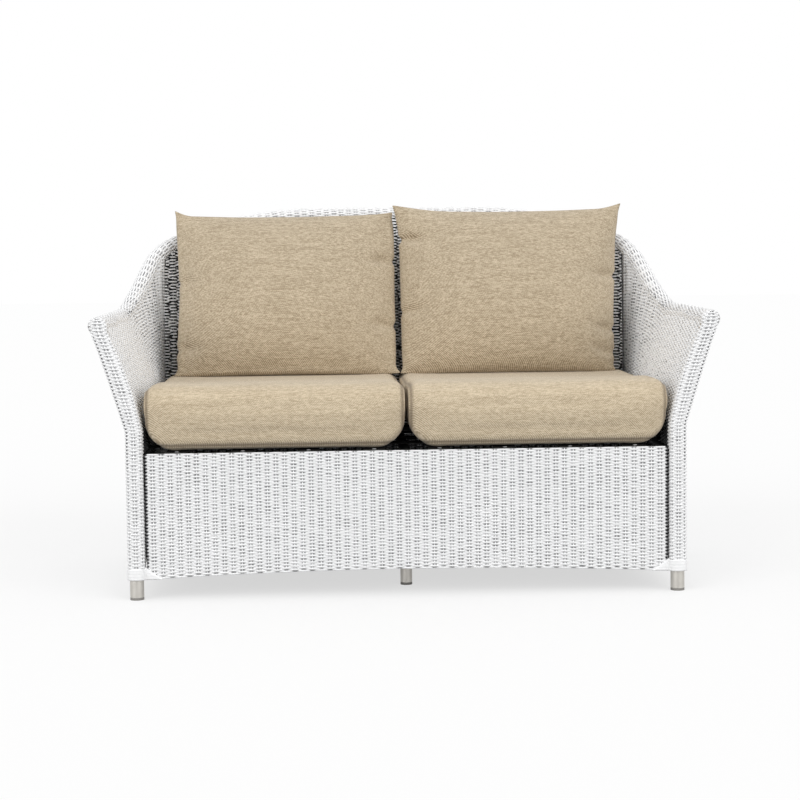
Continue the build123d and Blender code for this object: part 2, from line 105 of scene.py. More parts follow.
class Finish:
    """A new material with a Principled shader; node adds any other node and returns an output."""

    def __init__(self, name, roughness, metallic=0.0, specular=0.5):
        self.material = bpy.data.materials.new(name)
        self.material.use_nodes = True
        self.tree = self.material.node_tree
        self.shader = self.tree.nodes["Principled BSDF"]
        self.shader.inputs["Roughness"].default_value = roughness
        self.shader.inputs["Metallic"].default_value = metallic
        self.shader.inputs["Specular IOR Level"].default_value = specular

    def feed(self, node, inputs):
        for name, value in inputs.items():
            if isinstance(value, Socket):
                self.tree.links.new(value.output, node.inputs[name])
            else:
                node.inputs[name].default_value = value

    def node(self, kind, settings=(), inputs=(), output=0):
        made = self.tree.nodes.new(kind)
        for name, value in dict(settings).items():
            if name == "stops":
                for stop, (place, level) in zip(made.color_ramp.elements, value):
                    stop.position = place
                    stop.color = (level, level, level, 1)
            else:
                setattr(made, name, value)
        self.feed(made, dict(inputs))
        return Socket(self, made.outputs[output])

    def blend_colours(self, factor, first, second):
        """Colour first where factor is 0, second where it is 1."""
        inputs = {0: factor, 6: first, 7: second}
        return self.node("ShaderNodeMix", {"data_type": "RGBA"}, inputs, output=2)

    def place(self):
        return self.node("ShaderNodeTexCoord", output="Object")

    def noise(self, scale, detail=2.0, stretch=(1, 1, 1)):
        mapped = self.node("ShaderNodeMapping", {}, {"Vector": self.place(), "Scale": stretch})
        inputs = {"Vector": mapped, "Scale": scale, "Detail": detail}
        return self.node("ShaderNodeTexNoise", {}, inputs)

    def bump(self, height, strength, distance):
        inputs = {"Height": height, "Strength": strength, "Distance": distance}
        self.feed(self.shader, {"Normal": self.node("ShaderNodeBump", {}, inputs)})

    def colour(self, value):
        self.feed(self.shader, {"Base Color": value})


def dress(finish, *names):
    """Gives CAD nodes a finish."""
    for name in names:
        nodes[name].data.materials.clear()
        nodes[name].data.materials.append(finish.material)


def sides(name):
    return f"{name}_left", f"{name}_right"


tube_finish = Finish("champagne_aluminium", roughness=0.34, metallic=0.75)
tube_finish.colour(tube_finish.blend_colours(tube_finish.noise(60, 4), champagne, champagne_worn))
tube_finish.bump(tube_finish.noise(900), strength=0.15, distance=0.0004)
dress(tube_finish, *sides("front_post"), *sides("rear_post"), *sides("arm_rail"))
dress(tube_finish, *sides("bottom_rail_side"), "bottom_rail_front", "bottom_rail_rear")
dress(tube_finish, "back_top_rail", "back_upright", "centre_leg")

# Seat deck: the four rails and the bar that carry the webbing, welded between the posts.
# They are painted black, faintly mottled: painted shade for the dark under the cushions.
deck_painted_shade = (0.010, 0.010, 0.010, 1)
deck_painted_shade_mottle = (0.022, 0.022, 0.022, 1)
deck_finish = Finish("deck_painted_shade_black", roughness=0.7, specular=0.2)
deck_finish.colour(deck_finish.blend_colours(deck_finish.noise(200), deck_painted_shade, deck_painted_shade_mottle))
deck_finish.bump(deck_finish.noise(1500), strength=0.2, distance=0.0002)
dress(deck_finish, *sides("deck_rail_side"), "deck_rail_front", "deck_rail_rear", "deck_bar_centre")

# Glides: grey nylon plugs pressed into the open ends of the feet.
# They are matt, with a slight moulded grain.
nylon_dark = (0.2, 0.19, 0.18, 1)
nylon_pale = (0.28, 0.27, 0.25, 1)
glide_finish = Finish("grey_nylon", roughness=0.55)
glide_finish.colour(glide_finish.blend_colours(glide_finish.noise(300), nylon_dark, nylon_pale))
dress(glide_finish, *sides("glide_front"), *sides("glide_rear"), "glide_centre")

# Seat straps: black woven webbing under the cushions, held to the rails by steel rivets.
# The webbing has a fine rib across it, made by its cross threads.
webbing_dark = (0.010, 0.010, 0.010, 1)
webbing_rib = (0.028, 0.028, 0.028, 1)
strap_finish = Finish("black_webbing", roughness=0.8, specular=0.3)
rib_inputs = {"Vector": strap_finish.place(), "Scale": 150}
strap_rib = strap_finish.node("ShaderNodeTexWave", {"bands_direction": "Y"}, rib_inputs)
strap_finish.colour(strap_finish.blend_colours(strap_rib, webbing_dark, webbing_rib))
dress(strap_finish, "seat_straps_long", "seat_straps_cross")
steel_dark = (0.5, 0.5, 0.5, 1)
steel_pale = (0.62, 0.62, 0.62, 1)
rivet_finish = Finish("plated_steel", roughness=0.35, metallic=1.0)
rivet_finish.colour(rivet_finish.blend_colours(rivet_finish.noise(500), steel_dark, steel_pale))
dress(rivet_finish, "strap_rivets")

# Seat cushions: foam blocks in a tan tweed cover, lying loose side by side on the straps.
# The cover wraps over the nose and is sewn to a panel at each end and to another underneath.
# Each one is blown up against the stretch of its cover by a cloth simulation before it is sewn.
seat_voxel = 0.008
end_seam_inset = 0.009
under_seam_height = 0.013
seam_depth = 0.0022
seam_width = 0.0035
# The upper part of each end is squarer than the CAD form: its reach inward and down, how square
# it is, how far out its points may come as a share of the reach, and a floor for the root.
seat_end_reach = (0.104, 0.079)
seat_end_power = 3.4
seat_end_most = 0.97
seat_end_least = 0.1
# The lower part of each end is cut off round: its reach inward, and how far it lifts the edge.
seat_foot_reach = 0.060
seat_foot_lift = 0.034
# The top falls to the back, from one share of the depth and over another.
seat_back_fall = 0.020
seat_fall_start = 0.1
seat_fall_length = 0.4


def new_piece(name, mesh, finish, body):
    """A finished mesh as a piece that rides on a body, at the origin."""
    mesh.materials.append(finish.material)
    piece = bpy.data.objects.new(name, mesh)
    scene.collection.objects.link(piece)
    for polygon in mesh.polygons:
        polygon.use_smooth = True
    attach(piece, body)
    return piece


def coordinates(mesh):
    flat = np.empty(len(mesh.vertices) * 3)
    mesh.vertices.foreach_get("co", flat)
    return flat.reshape(-1, 3)


def move_to(mesh, places):
    mesh.vertices.foreach_set("co", np.ascontiguousarray(places, dtype=np.float32).ravel())
    mesh.update()


def swell(mesh, pressure, steps, cap, held=()):
    """Blows a closed mesh up as cloth; held points stay, and no point moves further than cap."""
    start = coordinates(mesh)
    cloth = bpy.data.objects.new("cloth", mesh)
    scene.collection.objects.link(cloth)
    modifier = cloth.modifiers.new("cloth", "CLOTH")
    settings = modifier.settings
    settings.quality = 5
    settings.mass = 0.3
    settings.tension_stiffness = 15
    settings.compression_stiffness = 15
    settings.shear_stiffness = 5
    settings.bending_stiffness = 0.5
    settings.use_pressure = True
    settings.uniform_pressure_force = pressure
    settings.effector_weights.gravity = 0
    if len(held):
        cloth.vertex_groups.new(name="held").add([int(i) for i in held], 1, "REPLACE")
        settings.vertex_group_mass = "held"
    for step in range(1, steps + 1):
        scene.frame_set(step)
    swollen = cloth.evaluated_get(bpy.context.evaluated_depsgraph_get()).data
    moves = coordinates(swollen) - start
    lengths = np.linalg.norm(moves, axis=1, keepdims=True)
    bpy.data.objects.remove(cloth)
    move_to(mesh, start + moves * np.minimum(1, cap / np.maximum(lengths, 1e-9)))
    scene.frame_set(1)


def finished_mesh(carrier):
    """What an object's modifiers make of its mesh; the object itself goes."""
    evaluated = carrier.evaluated_get(bpy.context.evaluated_depsgraph_get())
    mesh = bpy.data.meshes.new_from_object(evaluated)
    bpy.data.objects.remove(carrier)
    return mesh


def voxel_copy(names, voxel):
    """One closed solid from CAD nodes that fill each other, remeshed at an even size."""
    source = bpy.data.meshes.new("filled")
    welded = bmesh.new()
    for name in names:
        welded.from_mesh(nodes[name].data)
    bmesh.ops.remove_doubles(welded, verts=welded.verts, dist=1e-5)
    welded.to_mesh(source)
    welded.free()
    carrier = bpy.data.objects.new("carrier", source)
    scene.collection.objects.link(carrier)
    remesh = carrier.modifiers.new("remesh", "REMESH")
    remesh.mode = "VOXEL"
    remesh.voxel_size = voxel
    even = finished_mesh(carrier)
    even.materials.clear()
    return even


def subdivided(mesh):
    """The mesh with one round of smooth subdivision."""
    carrier = bpy.data.objects.new("carrier", mesh)
    scene.collection.objects.link(carrier)
    carrier.modifiers.new("smooth", "SUBSURF").levels = 1
    return finished_mesh(carrier)


def fit_box(places, low, high):
    """Scales and moves points so that they fill the box from low to high."""
    low_now, high_now = places.min(0), places.max(0)
    return low + (places - low_now) * (high - low) / (high_now - low_now)


def tweed_finish(name, light, dark):
    """Tweed: level slubbed yarns of uneven colour in a fine twill; painted shade where a seam draws
    in.
    """
    tweed = Finish(name, roughness=0.92, specular=0.2)
    tweed.shader.inputs["Sheen Weight"].default_value = 0.15
    tweed.shader.inputs["Sheen Roughness"].default_value = 0.6
    slubs = tweed.noise(1, 2, stretch=(85, 480, 480))
    grain = tweed.noise(360, 1)
    broad_slubs = tweed.noise(1, 2, stretch=(10, 140, 140))
    along = tweed.node("ShaderNodeSeparateXYZ", {}, {"Vector": tweed.place()})
    deep, high = [Socket(tweed, along.output.node.outputs[axis]) for axis in "YZ"]
    height = high + deep
    twill_slope = 1.15
    twill_place = tweed.node("ShaderNodeCombineXYZ", {}, {"X": along + height * twill_slope})
    twill_inputs = {"Vector": twill_place, "Scale": 62, "Distortion": 1.0, "Detail": 1}
    twill = tweed.node("ShaderNodeTexWave", {"wave_profile": "SIN"}, twill_inputs)
    level = slubs * 0.44 + grain * 0.22 + broad_slubs * 0.15 + twill * 0.19
    slub_level = tweed.node("ShaderNodeValToRGB", {"stops": [(0.41, 0), (0.59, 1)]}, {"Fac": level})
    woven = tweed.blend_colours(slub_level, dark, light)
    seam = tweed.node("ShaderNodeAttribute", {"attribute_name": "seam"}, output="Fac")
    # Painted shade: the seams are painted darker where the cover draws in.
    seam_shade = (0.16, 0.12, 0.08, 1)
    tweed.colour(tweed.blend_colours(seam * 0.75, woven, seam_shade))
    tweed.bump(slubs * 0.6 + twill * 0.4, strength=0.35, distance=0.0007)
    return tweed


tweed = tweed_finish("tan_tweed", (0.68, 0.575, 0.42, 1), (0.38, 0.30, 0.195, 1))


def slices(along, count=60):
    """Even slices through the points along one direction: their places, and each point's slice."""
    middles = np.linspace(along.min(), along.max(), count)
    return middles, np.abs(along[:, None] - middles[None, :]).argmin(axis=1)


def evened(values):
    """The running mean of five values."""
    return np.convolve(np.pad(values, 2, mode="edge"), np.ones(5) / 5, mode="valid")


def least_beside(values, along):
    """For each point, the least value of the points beside it along one direction, evened."""
    middles, nearest = slices(along)
    least = np.array([values[nearest == i].min() for i in range(len(middles))])
    return np.interp(along, middles, evened(least))


def rounded_ends(places):
    """Rounds a cushion's ends below, squares them above, and lets its top fall to the back."""
    x, y, z = places.T
    low, high = places.min(0), places.max(0)
    middle = (low[0] + high[0]) / 2
    to_end = (high[0] - low[0]) / 2 - np.abs(x - middle)
    top = -least_beside(-z, y)
    in_end = np.clip(1 - to_end / seat_end_reach[0], 0, 1)
    up = np.clip(1 - (top - z) / seat_end_reach[1], 0, 1)
    away = np.maximum(np.hypot(in_end, up), 1e-9)
    powers = (in_end / away) ** seat_end_power + (up / away) ** seat_end_power
    squares = np.maximum(powers, seat_end_least) ** (-1 / seat_end_power)
    squarer = np.where((in_end > 0) & (up > 0), squares, 1)
    out = np.minimum(squarer * in_end, np.maximum(in_end, seat_end_most)) - in_end
    raised = np.minimum(squarer * up, 1) - up
    rise = (z - low[2]) / (high[2] - low[2])
    below = np.clip(1 - to_end / seat_foot_reach, 0, 1) ** 2 * seat_foot_lift * (1 - rise) ** 1.5
    back = np.clip(((y - low[1]) / (high[1] - low[1]) - seat_fall_start) / seat_fall_length, 0, 1)
    fall = seat_back_fall * rise * back * back * (3 - 2 * back)
    out *= np.sign(x - middle) * seat_end_reach[0]
    return places + np.stack([out, 0 * rise, raised * seat_end_reach[1] + below - fall], axis=1)


def sew(mesh, places, axis, at):
    """Draws the cover in along a seam that lies in one plane, and marks it for painted shade."""
    pull = np.exp(-((places[:, axis] - at) / seam_width) ** 2)
    away = places - (places.min(0) + places.max(0)) / 2
    away[:, axis] = 0
    away /= np.maximum(np.linalg.norm(away, axis=1, keepdims=True), 1e-9)
    mark = mesh.attributes.get("seam") or mesh.attributes.new("seam", "FLOAT", "POINT")
    before = np.empty(len(places), dtype=np.float32)
    mark.data.foreach_get("value", before)
    mark.data.foreach_set("value", np.maximum(before, pull).astype(np.float32))
    return places - away * seam_depth * pull[:, None]


def seat_cushion(side):
    """One seat cushion, which fills the box of its CAD cover."""
    low, high = [np.array(corner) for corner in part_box(f"seat_cushion_cover_{side}")]
    parts = [f"seat_cushion_{part}_{side}" for part in ("cover", "zip", "batting", "foam")]
    mesh = voxel_copy(parts, seat_voxel)
    swell(mesh, pressure=4, steps=12, cap=0.0025)
    mesh = subdivided(mesh)
    places = fit_box(rounded_ends(coordinates(mesh)), low, high)
    places = sew(mesh, places, 0, low[0] + end_seam_inset)
    places = sew(mesh, places, 0, high[0] - end_seam_inset)
    places = sew(mesh, places, 2, low[2] + under_seam_height)
    move_to(mesh, places)
    cushion = new_piece(f"seat_cushion_{side}", mesh, tweed, f"seat_cushion_{side}")
    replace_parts(cushion, *parts)


seat_cushion("left")
seat_cushion("right")

# Back pillows: fibre in a knife-edged tweed envelope with pointed ears, leaning on the back.
# Each starts as a loosely filled envelope, held at its seam and blown up by a cloth simulation.
pillow_cell = 0.0075
# The pillows' tweed is a darker copy of the cushions' tweed: painted shade on the same cloth.
pillow_tweed_shaded = tweed_finish("pillow_tweed_shaded", (0.605, 0.51, 0.375, 1), (0.26, 0.20, 0.125, 1))
pillow_waist = 0.022
pillow_taper = 0.012
pillow_dip = 0.007
pillow_ear = 0.016
# The side that faces the other pillow is straighter than the outer one by this share.
pillow_inner_share = 0.6
# From what share of the half width or half height the corners, ears and lower corners start.
pillow_corner_start = 0.86
pillow_ear_start = 0.7
pillow_foot_start = 0.8
# The filling: how full it stays towards the seam, thinner at the top, drawn in by the puckers.
pillow_fullness = 0.52
pillow_top_thinner = 0.16
pillow_pucker = 0.22
pillow_extra_height = {"left": 0.004, "right": 0.012}
# For each pillow, its left and right ear: its height, and from what share of the width it rises.
pillow_ears = {"left": ((1.0, 0.84), (0.2, 0.84)), "right": ((0.9, 0.5), (1.0, 0.82))}
# Creases that run in from the seam: place across and up, and depth as a share of the filling.
pillow_creases = {
    "left": ((0.94, 0.35, 0.40), (0.95, -0.45, 0.42), (-0.95, 0.10, 0.30), (-0.94, -0.70, 0.4)),
    "right": (
        (-0.92, 0.60, 0.60), (0.92, 0.12, 0.5), (0.93, -0.52, 0.52), (0.91, -0.77, 0.45),
        (-0.95, -0.30, 0.3),
    ),
}
# How far a crease spreads across and up, and the notch that it makes in the side edge.
crease_across = 0.11
crease_up = 0.055
notch_depth = 0.02
notch_up = 0.035
pillow_lean = math.radians(14)
pillow_depth = 0.15
# Each pillow's side edges: which way they face, and how far out they stand by height.
pillow_edges = {
    "left": (
        (-1, (0, 0.5, 1), (0.566, 0.557, 0.570)),
        (1, (0, 0.85, 1), (0.001, 0.000, -0.008)),
    ),
    "right": (
        (1, (0, 0.3, 0.55, 0.8, 1), (0.558, 0.560, 0.568, 0.578, 0.600)),
        (-1, (0, 0.83, 1), (-0.010, -0.010, 0.008)),
    ),
}
# A row that would move further than the most is left to the rows beside it. The moves of the
# edge, of the lower edge that rests and of the corner fade out over their reaches.
edge_most_move = 0.05
edge_reach = 0.12
rest_reach = 0.2
# The right pillow's inner ear lies in front of the left pillow's corner.
pillow_corner_moves = {"left": 0.006, "right": -0.024}
corner_reach = 0.10


def past(value, start):
    """How far a value is past its start, as a share of the way from there to 1, squared."""
    return max(0, (value - start) / (1 - start)) ** 2


def pillow_envelope(width, height, thickness, inner, ears, creases):
    """Two panels sewn together round their edges, loosely filled, standing in the XZ plane."""
    bm = bmesh.new()
    columns, rows = round(width / pillow_cell), round(height / pillow_cell)
    bmesh.ops.create_grid(bm, x_segments=columns, y_segments=rows, size=1)
    front = list(bm.verts)
    made = bmesh.ops.duplicate(bm, geom=bm.verts[:] + bm.edges[:] + bm.faces[:])["geom"]
    back = [element for element in made if isinstance(element, bmesh.types.BMVert)]
    for verts, way in ((front, -1), (back, 1)):
        for vert in verts:
            s, t = vert.co.x, vert.co.y
            ear_height, ear_start = ears[s > 0]
            corner = past(abs(s), pillow_corner_start) * past(t, pillow_corner_start)
            ear = ear_height * past(abs(s), ear_start) * past(t, pillow_ear_start)
            foot = past(abs(s), pillow_foot_start) * past(-t, pillow_foot_start)
            waist = pillow_waist * (1 - pillow_inner_share * (s * inner > 0))
            x = s * (1 - waist * (1 - t * t) - pillow_taper * (1 - t)) * width / 2
            x += math.copysign(corner * 0.6 - foot * 1.5, s) * pillow_ear
            dip = pillow_dip * (1 - s * s) * ((1 + t) / 2) ** 2
            z = t * height / 2 - dip + (ear + foot * 0.5) * pillow_ear
            near_edge = max(abs(s), abs(t)) ** 12
            folds = 9 * t + 3 * math.sin(5 * s) if abs(s) > abs(t) else 11 * s + 1
            pucker = 0.5 + 0.5 * math.cos(folds)
            loft = (max(0, (1 - s * s) * (1 - t * t))) ** pillow_fullness
            loft *= 1 - pillow_top_thinner * t
            loft *= 1 - pillow_pucker * near_edge * pucker
            for across, up, share in creases:
                spread = ((s - across) / crease_across) ** 2 + ((t - up) / crease_up) ** 2
                loft *= 1 - share * math.exp(-spread)
                if s * across > 0:
                    x -= s ** 5 * share * notch_depth * math.exp(-((t - up) / notch_up) ** 2)
            vert.co = Vector((x, way * loft * thickness / 2, z))
    bmesh.ops.remove_doubles(bm, verts=bm.verts, dist=1e-5)
    bmesh.ops.recalc_face_normals(bm, faces=bm.faces)
    mesh = bpy.data.meshes.new("pillow")
    bm.to_mesh(mesh)
    bm.free()
    return mesh


def edged(places, way, shares, edge):
    """Moves one side edge of a pillow out to its own line, given from the bottom to the top."""
    height, reach = places[:, 2], way * places[:, 0]
    rows, nearest = slices(height)
    line = np.interp(np.linspace(0, 1, len(rows)), shares, edge)
    moves = line - np.array([reach[nearest == i].max() for i in range(len(rows))])
    beside = np.abs(moves) < edge_most_move
    moves = evened(np.interp(rows, rows[beside], moves[beside]))
    near = np.clip(1 - (np.interp(height, rows, line) - reach) / edge_reach, 0, 1) ** 1.5
    moved = places.copy()
    moved[:, 0] += way * np.interp(height, rows, moves) * near
    return moved


def rested(places, floor):
    """Lets the lower half of a pillow sink until its whole lower edge rests on the floor height."""
    gap = least_beside(places[:, 2], places[:, 0]) - floor
    share = np.clip(1 - (places[:, 2] - floor) / rest_reach, 0, 1)
    sunk = places.copy()
    sunk[:, 2] = np.maximum(places[:, 2] - gap * share ** 1.5, floor)
    return sunk


def turned_forward(places, way, move):
    """Moves a pillow's inner upper corner along y, over the top quarter of its height."""
    low, high = places.min(0), places.max(0)
    to_edge = (way * places[:, 0]).max() - way * places[:, 0]
    in_top = np.clip(4 * (places[:, 2] - low[2]) / (high[2] - low[2]) - 3, 0, 1)
    share = np.clip(1 - to_edge / corner_reach, 0, 1) * in_top
    moved = places.copy()
    moved[:, 1] += share * move
    return moved


def pillow(side):
    """One pillow, blown up, leaned back and set on its cushion."""
    low, high = [np.array(corner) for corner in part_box(f"pillow_cover_{side}")]
    high[2] += pillow_extra_height[side]
    cut = high[0] - low[0], (high[2] - low[2]) / math.cos(pillow_lean), pillow_depth
    inner = 1 if side == "left" else -1
    mesh = pillow_envelope(*cut, inner, pillow_ears[side], pillow_creases[side])
    seam = np.flatnonzero(abs(coordinates(mesh)[:, 1]) < 1e-6)
    swell(mesh, pressure=5, steps=12, cap=0.005, held=seam)
    mesh = subdivided(mesh)
    places = coordinates(mesh)
    upright = Matrix.Rotation(-pillow_lean, 3, "X")
    places = fit_box(places @ np.array(upright).T, low, high)
    places = rested(places, low[2] - seat_back_fall)
    for way, shares, edge in pillow_edges[side]:
        places = edged(places, way, shares, edge)
    move_to(mesh, turned_forward(places, inner, pillow_corner_moves[side]))
    piece = new_piece(f"pillow_{side}", mesh, pillow_tweed_shaded, f"pillow_{side}")
    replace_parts(piece, *(f"pillow_{part}_{side}" for part in ("cover", "zip", "fibre")))


pillow("left")
pillow("right")

# Woven skins: twisted vinyl strands, woven by machine over thin stiff stakes into one cloth.
# The cloth is stretched over the frame and wrapped round its tubes. Every strand passes in
# front of one stake and behind the next, and its neighbour does the opposite.
stake_pitch = 0.020
strand_pitch = 0.004
strand_radius = 0.00195
strand_corner = strand_radius * math.sqrt(2)
stake_radius = 0.0018
stake_lift = 0.0002
strand_sides = 4
steps_per_stake = 3
weave_low = 0.046
edge_slack = 1e-4
# How much deeper, and so darker, painted shade at seams and edges makes the cloth.
painted_shade_depth = 0.6


def woven_cloth(low, high, reach, middle):
    """A flat weave between two corners (u, v): strands run along u, stakes along v.

    Its third direction, w, stands out from it. A tile of two strands and two stakes is repeated.
    """
    bm = bmesh.new()
    recess = bm.verts.layers.float.new("recess")
    full_turn = 2 * math.pi
    half_side = 0.5 / strand_sides
    for row, way in enumerate((1, -1)):
        cells = {"x_segments": 2 * steps_per_stake, "y_segments": strand_sides}
        for vert in bmesh.ops.create_grid(bm, size=0.5, **cells)["verts"]:
            along = (2 * vert.co.x + 0.5) * stake_pitch
            turn = (vert.co.y + half_side) * full_turn
            wave = reach * way * math.cos(math.pi * along / stake_pitch)
            depth = wave + strand_corner * math.cos(turn)
            vert[recess] = (1 - depth / (reach + strand_radius)) / 2
            vert.co = Vector((along, row * strand_pitch + strand_corner * math.sin(turn), depth))
    for column in (0, 1):
        cells = {"x_segments": strand_sides, "y_segments": 1}
        for vert in bmesh.ops.create_grid(bm, size=0.5, **cells)["verts"]:
            turn = (vert.co.x + half_side) * full_turn
            along = column * stake_pitch + stake_radius * math.sin(turn)
            depth = stake_radius * math.cos(turn)
            vert[recess] = (1 - depth / (reach + strand_radius)) / 2
            vert.co = Vector((along, (2 * vert.co.y + 0.5) * strand_pitch, depth + stake_lift))
    bmesh.ops.remove_doubles(bm, verts=bm.verts, dist=1e-6)
    tile = bpy.data.meshes.new("tile")
    bm.to_mesh(tile)
    bm.free()
    carrier = bpy.data.objects.new("carrier", tile)
    scene.collection.objects.link(carrier)
    pitches = stake_pitch, strand_pitch
    first = [2 * math.floor(start / (2 * pitch)) for start, pitch in zip(low, pitches)]
    for axis, pitch in enumerate(pitches):
        array = carrier.modifiers.new("repeat", "ARRAY")
        array.use_relative_offset = False
        array.use_constant_offset = True
        array.constant_offset_displace = [2 * pitch * (axis == 0), 2 * pitch * (axis == 1), 0]
        array.count = math.ceil((high[axis] - first[axis] * pitch) / (2 * pitch)) + 1
        array.use_merge_vertices = True
        array.merge_threshold = 1e-5
    cloth = finished_mesh(carrier)
    start = first[0] * stake_pitch, first[1] * strand_pitch, middle
    move_to(cloth, coordinates(cloth) + start)
    return cloth


def drape(cloth, surface, keep):
    """Lays flat cloth on a surface, a map from (u, v) to places, and drops what isn't kept."""
    u, v, w = coordinates(cloth).T
    nudge = 0.0005
    across = surface(u + nudge, v) - surface(u - nudge, v)
    along = surface(u, v + nudge) - surface(u, v - nudge)
    outward = np.cross(across, along)
    outward /= np.maximum(np.linalg.norm(outward, axis=1, keepdims=True), 1e-12)
    kept = keep(u, v)
    move_to(cloth, surface(u, v) + outward * w[:, None])
    bm = bmesh.new()
    bm.from_mesh(cloth)
    bm.verts.ensure_lookup_table()
    bmesh.ops.delete(bm, geom=[bm.verts[i] for i in np.flatnonzero(~kept)], context="VERTS")
    ends = [edge for edge in bm.edges if edge.is_boundary]
    bmesh.ops.holes_fill(bm, edges=ends, sides=2 * strand_sides)
    bm.to_mesh(cloth)
    bm.free()


def paint_shade(cloth, chosen):
    """Paints shade into part of a flat cloth, where a seam or an edge is in the shade, by deepening
    its mark.
    """
    u, v = coordinates(cloth).T[:2]
    recess = cloth.attributes["recess"].data
    depths = np.empty(len(u), dtype=np.float32)
    recess.foreach_get("value", depths)
    recess.foreach_set("value", (depths + painted_shade_depth * chosen(u, v)).astype(np.float32))


def places_of(x, y, z):
    return np.stack(np.broadcast_arrays(x, y, z), axis=-1)


vinyl_dull = (0.86, 0.865, 0.87, 1)
vinyl_bright = (0.94, 0.94, 0.945, 1)
# Painted shade for the dark hollow between and behind the strands.
hollow_painted_shade = (0.008, 0.008, 0.009, 1)
# The depths over which a strand's colour gives way to painted black shade, for the hollow between
# the strands.
hollow_shade_depths = (0.62, 0.72)
vinyl_grain = (900, 900, 2500)


def weave_material(name, grey, dive, wander, patch=(30, 30, 110)):
    """White vinyl with painted shade: it greys between two depths, more here and less there, and is
    painted black further in.
    """
    finish = Finish(name, roughness=0.5, specular=0.3)
    depth = finish.node("ShaderNodeAttribute", {"attribute_name": "recess"}, output="Fac")
    uneven = depth + finish.noise(1, 2, stretch=patch) * wander - wander / 2
    shades = []
    for value, (start, end) in ((uneven, dive), (depth, hollow_shade_depths)):
        inputs = {"Value": value, "From Min": start, "From Max": end}
        shades.append(finish.node("ShaderNodeMapRange", {}, inputs))
    tone = finish.blend_colours(finish.noise(140, 3), vinyl_dull, vinyl_bright)
    front = finish.blend_colours(shades[0], tone, grey)
    finish.colour(finish.blend_colours(shades[1], front, hollow_painted_shade))
    finish.bump(finish.noise(1, 2, stretch=vinyl_grain), strength=0.25, distance=0.0003)
    return finish


# The white weave's grey dashes are painted shade where strands pass behind the stakes.
white_weave = weave_material("white_weave", (0.30, 0.30, 0.31, 1), (0.38, 0.54), wander=0.36)

# Apron: a flat panel of the woven vinyl between the front posts, from under the cushions down to
# an arched lower edge. It is stretched over the front rails and fastened behind them.
apron_low, apron_high = [np.array(corner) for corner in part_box("apron_weave")]
apron_arch = 0.015
apron_half = 0.5985
apron_shaded_edge = 0.004
apron_top_slack = 0.001
apron_reach = 0.0022
apron_middle = -0.0040


def apron_surface(u, v):
    arch = apron_arch * (1 - (u / apron_high[0]) ** 2)
    height = apron_high[2] - apron_low[2]
    share = (v - apron_low[2]) / height
    return places_of(u, apron_low[1], apron_low[2] + arch + share * (height - arch))


def apron_keep(u, v):
    return (abs(u) < apron_half) & (v > apron_low[2]) & (v < apron_high[2] + apron_top_slack)


apron_corners = (-apron_half, apron_low[2]), (apron_half, apron_high[2])
apron = woven_cloth(*apron_corners, apron_reach, apron_middle)
# Painted shade on the last few millimetres beside each post.
paint_shade(apron, lambda u, v: abs(u) > apron_half - apron_shaded_edge)
drape(apron, apron_surface, apron_keep)
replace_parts(new_piece("apron", apron, white_weave, "frame"), "apron_weave")

# Arms: one cloth of woven vinyl runs forward inside the arm, round the front post and back
# outside it, stretched between the arm rail and the bottom rail. u is measured along that way
# from the middle of the front, v is the height. The cloth inside has darker painted shade.
arm_painted_shade = (0.22, 0.22, 0.225, 1)
arm_patch = (100, 100, 220)
arm_weave = weave_material("arm_weave", arm_painted_shade, (0.38, 0.50), wander=0.8, patch=arm_patch)
arm_reach = 0.0020
arm_middle = -0.0029
front_post_radius = 0.016
front_post_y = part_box("front_post_right")[0].y + front_post_radius
facing_half_depth = 0.020
facing_corner = 0.013
facing_nominal_half = 0.0067
arm_height = 0.625
waist_height = 0.385
roll_reference_radius = 16 * strand_pitch / math.pi
arm_tip_x = 0.698
facing_tip_half = 0.0245
facing_tip_corner = 0.007
facing_tip_start = 0.575
facing_tip_length = 0.03
facing_corner_share = 0.9
facing_back_reach = 0.0203
facing_low = 0.070
facing_over = 0.034
# The faces of the front of the arm: out at the waist, how much further out above, and the sag.
facing_inner = (0.6005, 0.0795, 0.13)
facing_outer = (0.640, 0.076, 0.02)
# The facing's outer edge gets painted shade at half strength, between these places round and up.
facing_shade_u = (0.018, 0.022)
facing_shade_v = (0.3, 0.6)
inner_skin_low = 0.33
# Painted shade on the inner skin: darker below this height, fading in over this reach.
arm_shade_top = 0.415
arm_shade_fade = 0.04
arm_length = 0.68
arm_top = 0.78
face_cell = 0.005
face_ray_start = 0.05
face_least_share = 0.25
arm_split = 2.5 * stake_pitch
corner_run = facing_corner * math.pi / 2
side_start = facing_nominal_half + corner_run
arm_run = side_start + arm_length


def mirrored(mesh):
    """The same mesh on the left-hand side."""
    other = mesh.copy()
    other.transform(Matrix.Scale(-1, 4, (1, 0, 0)))
    other.flip_normals()
    return other


